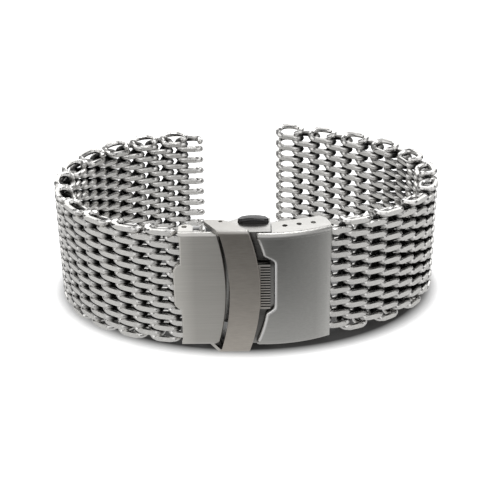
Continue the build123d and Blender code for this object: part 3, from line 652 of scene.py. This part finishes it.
def sheet_piece(node, points, faces, material, rides=True):
    """A piece in a solid's place, smooth round its bends, with how level each point lies.

    It rides on the solid's body unless it is told not to.
    """
    mesh = bpy.data.meshes.new(f"{node}_sheet")
    mesh.from_pydata(points.tolist(), [], faces)
    # How level each point lies, which the steel uses to paint light on level faces and bends.
    store(mesh, "level", "POINT", np.abs(gathered(mesh.vertex_normals, "vector", 3)[:, 2]))
    mesh.shade_smooth()
    mesh.set_sharp_from_angle(angle=math.radians(SMOOTH_DEG))
    mesh.materials.append(material)
    piece = placed(f"{node}_sheet", mesh)
    if rides:
        even = piece.modifiers.new("even_faces", "WEIGHTED_NORMAL")
        even.keep_sharp = True
        even.weight = LARGE_FACES_LEAD
        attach(piece, frame["nodes"][node].parent.name.split(":", 1)[1])
    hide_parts(node)
    return piece


def smooth_copy(node, material):
    """Copy of a solid's merged surface as a piece."""
    points, triangles = merged_surface(node)
    return sheet_piece(node, points, triangles.tolist(), material)


def darken(piece, *boxes):
    """Paints shade on the faces whose centre lies in a box, given by two corners in the clasp's place."""
    centres = in_clasp(gathered(piece.data.polygons, "center", 3))
    inside = np.zeros(len(centres), dtype=bool)
    for low, high in boxes:
        inside |= ((centres > np.array(low)) & (centres < np.array(high))).all(axis=1)
    store(piece.data, "groove", "FACE", inside)


def brushed_steel(name, dark, light, rough, grain, depth, painted_light_by_height=(1.0, 1.0),
                  painted_light_by_length=((0.0, 1.0), (1.0, 1.0))):
    """Brushed sheet steel: streaks of stretched noise in the sheet's own place, and a slow cloud of tone.

    The tone is multiplied by painted light: a ramp over the sheet's height and one along it, given as a
    span in millimetres and its two shares. Level faces and bends get painted light, marked boxes painted
    shade and marked edges a painted highlight.
    """
    material, tree, shader = new_material(name)
    shader.inputs["Metallic"].default_value = 1.0
    place = tree.nodes.new("ShaderNodeTexCoord").outputs["Object"]
    streaks = streaked(tree, place, grain)
    cloud = tree.nodes.new("ShaderNodeTexNoise")
    cloud.inputs["Scale"].default_value = STEEL_TONE_SCALE
    cloud.inputs["Detail"].default_value = STEEL_TONE_DETAIL
    tree.links.new(place, cloud.inputs["Vector"])
    tone = tree.nodes.new("ShaderNodeMath")
    tone.operation = "MULTIPLY_ADD"
    tone.inputs[1].default_value = STEEL_TONE_SHARE
    tree.links.new(cloud.outputs["Fac"], tone.inputs[0])
    tree.links.new(from_noise(tree, streaks, (0.0, 1.0 - STEEL_TONE_SHARE)), tone.inputs[2])
    face = mixed(tree, tone.outputs[0], dark, light, "RGBA")
    axes = tree.nodes.new("ShaderNodeSeparateXYZ")
    tree.links.new(place, axes.inputs[0])
    painted_light_ramps = tree.nodes.new("ShaderNodeMath")
    painted_light_ramps.operation = "MULTIPLY"
    painted_light_span = [end * MM for end in painted_light_by_length[0]]
    tree.links.new(ranged(tree, axes.outputs["Z"], PAINTED_LIGHT_HEIGHTS, painted_light_by_height), painted_light_ramps.inputs[0])
    tree.links.new(ranged(tree, axes.outputs["X"], painted_light_span, painted_light_by_length[1]), painted_light_ramps.inputs[1])
    painted_lit = vector_step(tree, "SCALE", face)
    tree.links.new(painted_light_ramps.outputs[0], painted_lit.inputs["Scale"])
    level_lit = ranged(tree, stored(tree, "level"), LEVEL_LIGHT_SPAN, (0.0, LEVEL_LIGHT_SHARE))
    colour = mixed(tree, level_lit, painted_lit.outputs[0], LEVEL_PAINTED_LIGHT, "RGBA")
    colour = mixed(tree, stored(tree, "groove"), colour, BOXED_SHADE_TONE, "RGBA")
    colour = mixed(tree, stored(tree, "rubbed"), colour, EDGE_PAINTED_HIGHLIGHT, "RGBA")
    tree.links.new(colour, shader.inputs["Base Color"])
    tree.links.new(from_noise(tree, streaks, rough), shader.inputs["Roughness"])
    scratched(tree, shader, streaks, depth, STEEL_BUMP_DISTANCE)
    return material


def eased(share):
    """Smooth step from 0 to 1: 6 s^5 - 15 s^4 + 10 s^3 of the share s, held between its ends."""
    share = np.clip(share, 0, 1)
    return share ** 3 * (share * (share * 6 - 15) + 10)


def cover_depth(x):
    """Depth of the cover's face: y = centre - root(radius^2 - (x - apex)^2)."""
    return COVER_CENTRE[1] - np.sqrt(COVER_RADIUS ** 2 - (x - COVER_CENTRE[0]) ** 2)


def cover_left_line(height, ramp):
    """Left edge of the cover, with a notch that the edge enters and leaves by an eased ramp.

    Outside the notch it is an arc, x = left - radius + root(radius^2 - height^2), drawn out to the left by
    a reach that grows with the square of the height.
    """
    bow = COVER_LEFT_X - COVER_LEFT_RADIUS + np.sqrt(COVER_LEFT_RADIUS ** 2 - height ** 2)
    bow = bow - COVER_LEFT_REACH * (height / COVER_BEND_Z) ** 2
    notch = eased((NOTCH_HALF_HEIGHT - np.abs(height - NOTCH_RISE)) / ramp + 0.5)
    return bow + (NOTCH_X - bow) * notch


def cover_front():
    """Rings of the cover's front plate between its bends.

    Each ring is one row, closed round the plate: round the bevelled left edge, where points step inwards
    from the edge along its normal and lie under the face by the bevel's profile, over the face, round the
    right edge and back along the inside.
    """
    height = np.linspace(-COVER_BEND_Z, COVER_BEND_Z, COVER_ROWS)
    edge = cover_left_line(height, NOTCH_RAMP)
    slope = np.gradient(cover_left_line(height, NOTCH_RAMP * SLOPE_WIDENING), height)
    slope = slope * eased((COVER_BEND_Z - np.abs(height)) / SLOPE_FADE)
    size = np.sqrt(1 + slope ** 2)
    step_in, depth_in = np.array(BEVEL_PROFILE).T
    bevel_x = edge[:, None] + step_in / size[:, None]
    bevel_z = height[:, None] - step_in * (slope / size)[:, None]
    share = np.linspace(0, 1, COVER_COLUMNS)[1:-1]
    last_x = COVER_RIGHT_X - COVER_RIGHT_BEVEL
    face_x = bevel_x[:, -1:] + (last_x - bevel_x[:, -1:]) * share
    face_z = bevel_z[:, -1:] + (height[:, None] - bevel_z[:, -1:]) * share
    turn_x = np.tile([last_x, COVER_RIGHT_X, COVER_RIGHT_X, last_x], (COVER_ROWS, 1))
    turn_z = np.tile(height[:, None], (1, turn_x.shape[1]))
    turn_depth = [0, COVER_RIGHT_BEVEL, COVER_SHEET - COVER_RIGHT_BEVEL, COVER_SHEET]
    x = np.concatenate([bevel_x, face_x, turn_x, face_x[:, ::-1]], axis=1)
    z = np.concatenate([bevel_z, face_z, turn_z, face_z[:, ::-1]], axis=1)
    flat = np.zeros(len(share))
    depth = np.concatenate([depth_in, flat, turn_depth, flat + COVER_SHEET])
    return np.stack([x, cover_depth(x) + depth, z], axis=-1)


def cover_rims():
    """The two bent rims with their flanges: the solid's triangles beyond the bends.

    Points near the left edge move out by its reach, and in depth by what the face's arc changes there.
    """
    points, triangles = merged_surface("cover")
    points = in_clasp(points)
    rim = (np.abs(points[triangles][:, :, 2]) > COVER_BEND_Z - COVER_BEND_MARGIN).all(axis=1)
    left = points[:, 0] < COVER_LEFT_BELOW_X
    before = cover_depth(points[left, 0])
    points[left, 0] -= COVER_LEFT_REACH
    points[left, 1] += cover_depth(points[left, 0]) - before
    used, group = np.unique(triangles[rim], return_inverse=True)
    return points[used], group.reshape(-1, 3)


# Painted light: the cover is darker at the top, lighter at the bottom and lighter towards its right edge.
cover_steel = brushed_steel("brushed_cover_steel",
                            dark=(0.40, 0.397, 0.38, 1.0), light=(0.50, 0.497, 0.478, 1.0),
                            rough=(0.32, 0.40), grain=(120.0, 6000.0, 6000.0), depth=0.08,
                            painted_light_by_height=(1.15, 0.67), painted_light_by_length=((11.6, 14.0), (1.0, 1.30)))
rim_points, rim_triangles = cover_rims()
front_rings = cover_front()
front_quads, front_caps = tube_faces(*front_rings.shape[:2])
cover_points = in_row(np.concatenate([rim_points, front_rings.reshape(-1, 3)]))
cover_faces = rim_triangles.tolist() + [[corner + len(rim_points) for corner in face]
                                        for face in front_quads.tolist() + front_caps]
cover_sheet = sheet_piece("cover", cover_points, cover_faces, cover_steel)
# A painted highlight along the cover's bevelled left edge.
rubbed = np.zeros(front_rings.shape[:2])
rubbed[:, :len(EDGE_HIGHLIGHT_SHARES)] = EDGE_HIGHLIGHT_SHARES
store(cover_sheet.data, "rubbed", "POINT", np.concatenate([np.zeros(len(rim_points)), rubbed.reshape(-1)]))

# ---------------------------------------------------------------------------
# End piece
# The flat left plate that the other half of the band hangs on, pressed from
# stainless sheet with rolled sides and two flanges, and brushed along the band.
# ---------------------------------------------------------------------------
END_LEFT_X = -11.70
END_TAB_X = -12.90
END_TAB_RISE = 0.65
END_TAB_BELOW_Z = 6.0
END_TAB_TAPER = 0.15


def tapered_tab(points):
    """The end piece's points with its tab narrowed towards its tip, so that its shoulders slope."""
    out = np.clip((END_LEFT_X - points[:, 0]) / (END_LEFT_X - END_TAB_X), 0, 1)
    height = points[:, 2]
    sloped = END_TAB_RISE + (height - END_TAB_RISE) * (1 - END_TAB_TAPER * out)
    return np.column_stack([points[:, :2], np.where(np.abs(height) < END_TAB_BELOW_Z, sloped, height)])


# Painted light: the end piece is lighter towards its rolled left edge.
end_steel = brushed_steel("brushed_end_steel",
                          dark=(0.462, 0.450, 0.419, 1.0), light=(0.565, 0.550, 0.518, 1.0),
                          rough=(0.34, 0.42), grain=(120.0, 6000.0, 6000.0), depth=0.08,
                          painted_light_by_length=((-11.8, -8.8), (1.36, 1.0)))
end_points, end_triangles = merged_surface("end_piece")
end_points = in_row(tapered_tab(in_clasp(end_points)))
sheet_piece("end_piece", end_points, end_triangles.tolist(), end_steel)

# ---------------------------------------------------------------------------
# Safety bar and its two pins
# A bowed stainless bar with bent ears and a ribbed lip, which folds over the
# shut clasp on two short steel pins. Its finish is duller and warmer.
# ---------------------------------------------------------------------------
# Boxes in the clasp's own place that get painted shade: the lip's grooves, and the inside of the lower ear
# and of the lower wall.
LIP_GROOVES = ((1.80, -3.03, -9.0), (9.0, 9.0, 9.0))
LOWER_EAR_INSIDE = ((-9.0, -2.9, -11.05), (9.0, 9.0, -10.95))
LOWER_WALL_INSIDE = ((-9.0, -9.0, -10.0), (9.0, 9.0, -9.9))

# Painted light: the bar is darker at the top and lighter at the bottom.
bar_steel = brushed_steel("satin_bar_steel",
                          dark=(0.37, 0.342, 0.308, 1.0), light=(0.49, 0.458, 0.415, 1.0),
                          rough=(0.36, 0.46), grain=(700.0, 5000.0, 5000.0), depth=0.10,
                          painted_light_by_height=(1.30, 0.66))
pin_steel = brushed_steel("pin_steel",
                          dark=(0.30, 0.30, 0.295, 1.0), light=(0.48, 0.478, 0.465, 1.0),
                          rough=(0.22, 0.34), grain=(6000.0, 6000.0, 500.0), depth=0.12)
darken(smooth_copy("safety_bar", bar_steel), LIP_GROOVES, LOWER_EAR_INSIDE)
smooth_copy("upper_bar_pin", pin_steel)
darken(smooth_copy("lower_bar_pin", pin_steel), LOWER_WALL_INSIDE)

# ---------------------------------------------------------------------------
# Lock frame
# The narrow channel riveted under the cover, folded from stainless sheet. It
# carries the buttons; its steel is painted dark with shade, so it shows as a darker strip beside the safety
# bar.
# ---------------------------------------------------------------------------
# Box in the clasp's own place that gets painted shade: the inside of the upper wall.
UPPER_WALL_INSIDE = ((-9.0, -9.0, 9.9), (9.0, 9.0, 10.0))

# Painted shade: the frame's steel is painted dark, as it lies deep between the bar and the cover.
frame_shaded_steel = brushed_steel("lock_frame_steel",
                            dark=(0.07, 0.069, 0.066, 1.0), light=(0.14, 0.138, 0.132, 1.0),
                            rough=(0.24, 0.36), grain=(200.0, 4000.0, 4000.0), depth=0.15)
darken(smooth_copy("lock_frame", frame_shaded_steel), LOWER_WALL_INSIDE, UPPER_WALL_INSIDE)

# ---------------------------------------------------------------------------
# Blades
# The two inner leaves of the fold, stamped from polished stainless sheet with
# rolled hinge knuckles. The inner one carries the two catches.
# ---------------------------------------------------------------------------
# Painted shade: the blades' polished steel is painted dark, as they lie deep inside the clasp.
blade_steel = brushed_steel("blade_steel",
                            dark=(0.13, 0.13, 0.127, 1.0), light=(0.21, 0.21, 0.205, 1.0),
                            rough=(0.16, 0.26), grain=(300.0, 4000.0, 4000.0), depth=0.12)
smooth_copy("inner_blade", blade_steel)
smooth_copy("middle_blade", blade_steel)

# ---------------------------------------------------------------------------
# Hinge pins and spring bars
# Turned steel: two plain pins through the knuckles, and the two spring bars
# that hold the coils, whose thin tips show in the flanges' holes.
# ---------------------------------------------------------------------------
for turned_part in ("blade_hinge_pin", "cover_hinge_pin", "left_spring_bar", "right_spring_bar"):
    smooth_copy(turned_part, pin_steel)

# ---------------------------------------------------------------------------
# Push buttons
# Moulded in gloss black plastic with a domed cap, a stem and a slider that
# holds the catch. One stands in each wall of the lock frame.
# ---------------------------------------------------------------------------
PLASTIC_DARK = (0.006, 0.006, 0.007, 1.0)
PLASTIC_LIGHT = (0.016, 0.015, 0.015, 1.0)
PLASTIC_ROUGHNESS = (0.14, 0.28)
PLASTIC_COAT = 0.1
PLASTIC_COAT_ROUGHNESS = 0.08
HAZE_SCALE = 900.0
HAZE_DETAIL = 4.0


def button_plastic():
    """Gloss black moulded plastic with a faint haze of handling."""
    material, tree, shader = new_material("button_black_plastic")
    shader.inputs["Coat Weight"].default_value = PLASTIC_COAT
    shader.inputs["Coat Roughness"].default_value = PLASTIC_COAT_ROUGHNESS
    haze = tree.nodes.new("ShaderNodeTexNoise")
    haze.inputs["Scale"].default_value = HAZE_SCALE
    haze.inputs["Detail"].default_value = HAZE_DETAIL
    tree.links.new(tree.nodes.new("ShaderNodeTexCoord").outputs["Object"], haze.inputs["Vector"])
    colour = mixed(tree, haze.outputs["Fac"], PLASTIC_DARK, PLASTIC_LIGHT, "RGBA")
    tree.links.new(colour, shader.inputs["Base Color"])
    tree.links.new(from_noise(tree, haze.outputs["Fac"], PLASTIC_ROUGHNESS), shader.inputs["Roughness"])
    return material


black_plastic = button_plastic()
smooth_copy("upper_push_button", black_plastic)
smooth_copy("lower_push_button", black_plastic)

# ---------------------------------------------------------------------------
# Button springs
# Folded leaf springs of thin blued strip, one behind each slider, which push
# the buttons outwards.
# ---------------------------------------------------------------------------
spring_strip = brushed_steel("spring_strip",
                             dark=(0.16, 0.165, 0.18, 1.0), light=(0.30, 0.305, 0.32, 1.0),
                             rough=(0.20, 0.32), grain=(5000.0, 900.0, 5000.0), depth=0.12)
for half in ("upper", "lower"):
    spring = f"{half}_button_spring"
    spring_points, spring_triangles = merged_surface(spring)
    spring_piece = sheet_piece(spring, spring_points, spring_triangles.tolist(), spring_strip,
                               rides=False)
    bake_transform(spring_piece)
